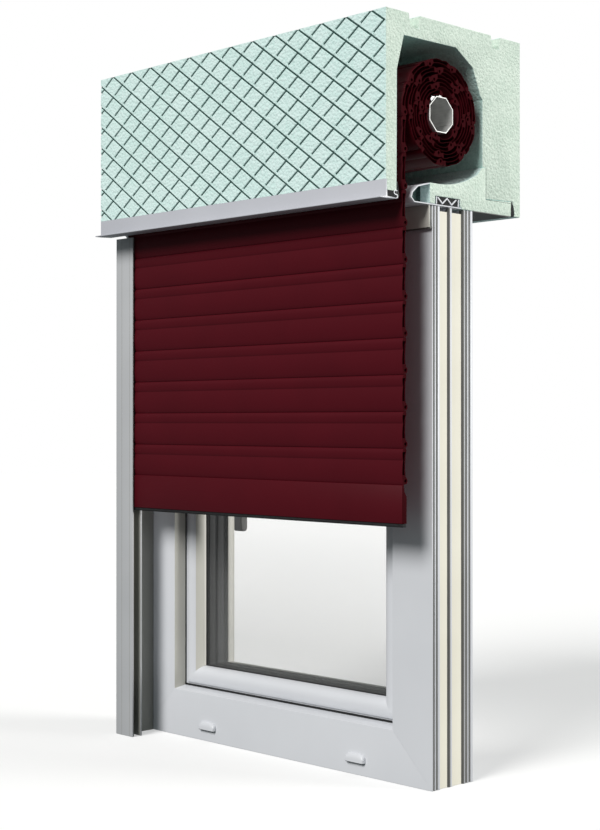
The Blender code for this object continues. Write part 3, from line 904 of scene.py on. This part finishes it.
def tube():
    """Octagonal tube with thin walls, a rolled seam on its top and the strip that hooks the roll."""
    left, right = TUBE_LOW[0], TUBE_HIGH[0]
    outer = rounded([tube_corner(k) for k in range(8)], TUBE_EDGE, 2)
    scale = 1 - 2 * TUBE_WALL / TUBE_FLATS
    inner = [(AXIS[0] + (d - AXIS[0]) * scale, AXIS[1] + (h - AXIS[1]) * scale) for d, h in outer]
    rim = [((a[0] * 3 + b[0]) / 4, (a[1] * 3 + b[1]) / 4) for a, b in zip(outer, inner)]
    sections = ((left, outer), (right - 0.4, outer), (right, rim), (right, inner), (left, inner))
    loft("octagon_tube", [[at(x, d, h) for d, h in line] for x, line in sections], "zinc", "tube",
         closed=True, replaces=("winding_tube",), smooth=25.0)
    depth, height = AXIS[0] - 2.0, AXIS[1] + TUBE_FLATS / 2 + 0.2
    seam = arc((depth, height), SEAM_RADIUS, 0, 180, 8)
    seam += [(depth - 3.2, height - 0.8), (depth + 3.2, height - 0.8)]
    along_x("tube_seam", seam, left + 1, right - 0.2, "zinc", "tube")
    depth, height = tube_corner(2)
    fin = [(depth + 1.0, height - 0.6), (depth - 9.0, height - 1.6), (depth - 9.2, height - 2.6),
           (depth - 7.6, height - 8.4)]
    along_x("tube_hook_strip", fin, right - 60, right - 1.6, "dark_steel", "tube")


# Small shapes at the box's lower edge, as (depth, height) points.
JOINT_LINE = [(189.7, 784.3), (189.7, 743.7), (241.0, 743.7)]    # between the shell and the block
CLIP_LINE = [(19.6, 737.6), (16.4, 738.2), (14.2, 735.6), (16.0, 733.4), (19.4, 733.0), (20.6, 730.8),
             (18.6, 728.9)]
LIP_LINE = [(18.9, 749.4), (19.2, 746.0), (21.2, 743.4), (21.0, 739.6), (18.9, 738.2)]
CHAMBER = [(2.4, 729.9), (18.6, 729.2), (18.6, 737.4), (2.4, 737.4)]
ADAPTER = ((90.3, 729.6), (137.7, 739.0))
ADAPTER_WALLS = {"front": 92.2, "rear": 134.4}
ADAPTER_WALL = (1.3, 729.3, 738.4)   # how thick, from height, to height
SEALS_START = LEFT + 46      # the clip and the lip begin to the right of the guide rail


def box_parts():
    """Foam blocks, their seals and the extrusions along the box's lower edge, with painted shade under the
    box and in the nose's hollow.
    """
    soften("inspection_block", 0.25, ("foam", "foam_cut"), "frame", cut=True)
    soften("plaster_strip", 0.3, "strip", "frame")
    soften("nose_profile", 0.4, "pvc", "frame")
    soften("adapter_profile", 0.2, "pvc", "frame")
    # the flange under the box takes the beige as painted shade
    soften("frame_flange", 0.25, "bead", "frame")
    soften("end_plate", 0.8, "pvc", "frame")
    soften("block_seal", 0.5, "rubber", "frame")
    # the flange's seal takes the dark grey of the painted shade under the box
    soften("flange_seal", 0.3, "shade", "frame")
    back = span("inspection_block")[0][1] - 0.2
    top = span("nose_profile")[1][2] - 2.6
    core = [(back, top), (59.0, 746.6), (49.2, 738.9), (47.4, 733.2), (52.0, 729.0), (back, 729.0)]
    # the core's very dark foam is painted shade in the hollow of the nose
    along_x("nose_foam_core", core, LEFT + 1, RIGHT - 16, "foam_core", "frame")
    along_x("block_joint", ribbon(JOINT_LINE, 0.5), RIGHT - 4, RIGHT + 0.04, "foam_core", "frame")
    along_x("adapter_web", rectangle(*ADAPTER), LEFT + 1, RIGHT - 1.5, "rubber", "frame")
    thick, low, high = ADAPTER_WALL
    for place, depth in ADAPTER_WALLS.items():
        along_x(f"adapter_wall_{place}", rectangle((depth, low), (depth + thick, high)), LEFT, RIGHT - 0.1,
                "pvc", "frame")
    # a dark grey plate under the box: painted shade
    shade_plate_back = span("block_seal")[0][1] - 1.0
    shade_plate = rectangle((FRAME_BACK + 1.5, BOX_BOTTOM - 0.9), (shade_plate_back, BOX_BOTTOM - 0.1))
    along_x("underside_shade_plate", shade_plate, LEFT + 0.5, RIGHT - 0.3, "shade", "frame")
    along_x("strip_clip", ribbon(smooth_path(CLIP_LINE), 1.2), SEALS_START, RIGHT + 0.35, "pvc", "frame")
    # a black plate in the strip's chamber at the cut end: painted shade in the hollow
    along_x("strip_chamber_shade", CHAMBER, RIGHT - 0.8, RIGHT + 0.08, "rubber", "frame")
    along_x("lip_seal", smooth_path(LIP_LINE), SEALS_START, RIGHT, "rubber", "frame")


RAIL_LINES = {"outer": 13.0, "inner": 31.5}      # distances from the rail's left side
RAIL_SLOT = (27.7, 40.3)     # the slot's depths
RAIL_CHAMBER_BACK = 42.0


def guide_rail():
    """Left guide rail with its chamber lines, and painted shade: a darker right side behind the chamber's
    back and a darker sheet in the slot.
    """
    (left, front, _), (_, _, top) = span("guide_rail")
    rail = soften("guide_rail", 0.5, ("rail", "rail_inner"), "frame", lengthwise=True)
    # the right side behind the chamber's back gets painted shade
    mark_right_side(rail, back_from=RAIL_CHAMBER_BACK)
    for place, inset in RAIL_LINES.items():
        x = left + inset
        along_z(f"rail_line_{place}", rectangle((x, front - 0.12), (x + 0.5, front + 0.4)), 0.5, top - 0.5,
                "rail_inner", "frame")
    slot_front, slot_back = RAIL_SLOT
    inner, opening = left + 17.0, left + 38.0
    slot = [(inner, slot_front), (opening, slot_front), (opening, slot_front + 0.7),
            (inner + 0.6, slot_front + 0.7), (inner + 0.6, slot_back - 0.7), (opening, slot_back - 0.7),
            (opening, slot_back), (inner, slot_back)]
    # a darker sheet in the slot: painted shade
    along_z("rail_slot_shade_sheet", slot, 0.4, top - 0.4, "rail_inner", "frame")


# Clip channels in the jambs' outer sides: from depth, to depth, how deep, and whether they are wide.
CHANNELS = ((86.0, 89.5, 3.0, False), (91.4, 95.2, 3.0, False), (99.0, 117.2, 5.5, True),
            (122.0, 144.4, 5.5, True), (147.4, 152.3, 3.0, False), (154.3, 158.3, 3.0, False))
FLOOR_SINK = 2.2             # the pale floors lie this far below the jamb's outer side
WALL_SINK = 0.8


def channel_linings():
    """What lines the clip channels in the jambs' outer sides: pale floors, and dark rear walls that are
    painted shade.
    """
    for side, edge, way in (("right", RIGHT, -1), ("left", LEFT, 1)):
        floors = bmesh.new()
        walls = bmesh.new()
        for front, back, deep, wide in CHANNELS:
            bottom = edge + way * (deep - 0.05)
            top = edge + way * FLOOR_SINK
            shoulder = edge + way * WALL_SINK
            if wide:
                floor = rectangle((bottom, front + 0.1), (top, back - 2.2))
                skin(floors, [[at(x, d, h) for x, d in floor] for h in (0.3, FRAME_TOP - 5.5)])
                lip, lip_root = edge - way * 0.1, edge + way * 0.4
                wall = [(bottom, back - 2.2), (top, back - 2.2), (shoulder, back - 1.0), (lip, back - 0.6),
                        (lip, back + 1.4), (lip_root, back + 1.4), (lip_root, back - 0.1),
                        (bottom, back - 0.1)]
            else:
                wall = [(bottom, front + 0.1), (top, front + 0.1), (shoulder, back - 0.5),
                        (shoulder, back - 0.1), (bottom, back - 0.1)]
            skin(walls, [[at(x, d, h) for x, d in wall] for h in (0.3, FRAME_TOP - 0.3)])
        make_piece(f"channel_floors_{side}", floors, "cream", "frame")
        # the dark walls are painted shade in the channels
        make_piece(f"channel_shade_walls_{side}", walls, "shade", "frame")


HOOD_RINGS = 6
HOOD_TOP_DROP = 3.2          # the hood ends this far below the CAD node's top
HOOD_NARROWS = 3.2           # how much each side and the top come in from the root to the crown
HOOD_FLATTENS = 8.0
DRAIN_HALF = 15.0            # half the width of the drain slot


def drain_cap(side):
    """Hood over a drain slot: a dome that stands out most at its lower edge, with a black sheet below it as
    painted shade in the slot.
    """
    low, high = span(f"drain_cap_{side}")
    middle = (low[0] + high[0]) / 2
    rings = []
    for i in range(HOOD_RINGS + 1):
        t = i / HOOD_RINGS
        falls = 1 - math.cos(t * math.pi / 2)
        half = (high[0] - low[0]) / 2 - HOOD_NARROWS * falls
        top = high[2] - HOOD_TOP_DROP - HOOD_FLATTENS * falls
        shoulder = low[2] + 4.0 - 1.2 * t
        line = [(middle + half * math.copysign(abs(math.cos(a)) ** 0.7, math.cos(a)),
                 shoulder + (top - shoulder) * abs(math.sin(a)) ** 0.8)
                for a in [math.pi * k / 16 for k in range(17)]]
        line += [(middle - half, low[2]), (middle + half, low[2])]
        depth = high[1] - (high[1] - low[1]) * math.sin(t * math.pi / 2)
        rings.append([at(x, depth, z) for x, z in line])
    loft(f"drain_hood_{side}", rings, "pvc", "frame", replaces=(f"drain_cap_{side}",), smooth=50.0)
    # a black sheet below the hood: painted shade in the drain slot
    slot = rectangle((middle - DRAIN_HALF, low[2] - 0.6), (middle + DRAIN_HALF, low[2] + 0.2))
    along_y(f"drain_slot_shade_{side}", slot, low[1] + 0.5, high[1], "rubber", "frame")


BARS = {"frame": {"sill": 0, "head": 0, "jamb_left": 2, "jamb_right": 2},    # and the axis of each
        "sash": {"bottom": 0, "top": 0, "left": 2, "right": 2}}
BAR_EDGE = {"frame": 0.5, "sash": 0.6}       # radius of the bars' edges
SEAL_INSET = 88.4            # seals round the panes reach from here, behind the sash's lip,
SEAL_EDGE = 101.3            # to here, just inside the visible glass


def window():
    """Frame, sash and glazing with rounded edges, gaskets and the bead round the panes."""
    for body, members in BARS.items():
        for member, axis in members.items():
            bar = soften(f"{body}_{member}", BAR_EDGE[body], ("pvc", "bead"), body, lengthwise=True,
                         weld=axis)
            # the left bars' right-looking faces get the beige as painted shade
            if member in ("jamb_left", "left"):
                mark_right_side(bar)
    channel_linings()
    for side in ("left", "right"):
        drain_cap(side)
    back = span("frame_gasket")[0][1]
    lip = [(62.0, back), (70.6, back), (73.0, back + 1.0), (73.6, back + 2.3), (62.0, back + 2.3)]
    ring_round("rebate_gasket", lip, "rubber", "frame", replaces=("frame_gasket",), tucked=70.4)
    back = span("glass_inner")[1][1]
    wedge = [(90.0, back + 0.1), (101.6, back + 0.1), (101.6, back + 3.4), (99.0, back + 4.6),
             (90.0, back + 4.6)]
    ring_round("rear_glazing_gasket", wedge, "rubber", "sash")
    soften("glazing_gasket", 0.2, "rubber", "sash")
    soften("glazing_bead", 0.7, "bead", "sash")
    soften("spacer_outer", 0.4, "spacer", "sash")
    soften("spacer_inner", 0.4, "spacer", "sash")
    for name in ("outer", "middle", "inner"):
        front = span(f"glass_{name}")[0][1]
        ring_round(f"pane_edge_seal_{name}", rectangle((SEAL_INSET, front + 0.1), (SEAL_EDGE, front + 3.9)),
                   "rubber", "sash")


PIN_DEPTH = 184.0            # the sash turns about this depth
PIN_INSET = 5.5
PIN_CAP = ((-0.2, 5.3), (1.6, 5.3), (2.6, 4.4), (3.0, 2.5))      # (height above the hinge, radius)


def hinge(name):
    """One hinge with the cap of its pin and two screws."""
    soften(name, 0.6, "pvc", "frame")
    low, high = span(name)
    centre = (low[0] + PIN_INSET, PIN_DEPTH)
    cap = [[at(x, d, high[2] + rise) for x, d in circle(centre, radius, 24)] for rise, radius in PIN_CAP]
    loft(name + "_pin_cap", cap, "pvc", "frame")
    spots = [at(RIGHT - 20.0, high[1] - 13.2, low[2] + height) for height in (9, 27)]
    screw_heads(name + "_screws", spots, 3.0, (0, 1, 0), "steel", "frame")


def hardware():
    """Handle, hinges, the motor's bracket with its screws, and the curtain's last slat."""
    soften("handle_rosette", 1.6, "handle", "sash", segments=3)
    soften("handle_grip", 2.2, "handle", "handle", segments=3)
    hinge("hinge_lower")
    hinge("hinge_upper")
    soften("motor_bracket", 0.5, "steel", "frame")
    low, high = span("motor_bracket")
    spots = [at(LEFT - 0.2, (low[1] + high[1]) / 2 + d, (low[2] + high[2]) / 2 + h)
             for d in (-24, 24) for h in (-11, 11)]
    screw_heads("end_plate_screws", spots, 3.6, (-1, 0, 0), "steel", "frame")
    # its cut face at the right end takes the painted shade of the slat ends
    soften("end_slat", 0.5, ("paint", "paint_end_shade"), "curtain", cut=True)
    soften("end_slat_seal", 0.6, "rubber", "curtain")


make_camera()
make_stage()
foam_shell()
box_parts()
curtain()
tube()
guide_rail()
window()
hardware()
paint_nodes("rubber", "rail_seal")
paint_nodes("pile", "brush_seal")
paint_nodes("steel", "curtain_hanger", "locking_rod")
paint_nodes("dark_steel", "motor_tube")
paint_nodes("nylon", "motor_head", "limit_crown", "drive_wheel")
paint_nodes("yellow", "limit_screw_up", "limit_screw_down")
paint_nodes("glass", "glass_outer", "glass_middle", "glass_inner")
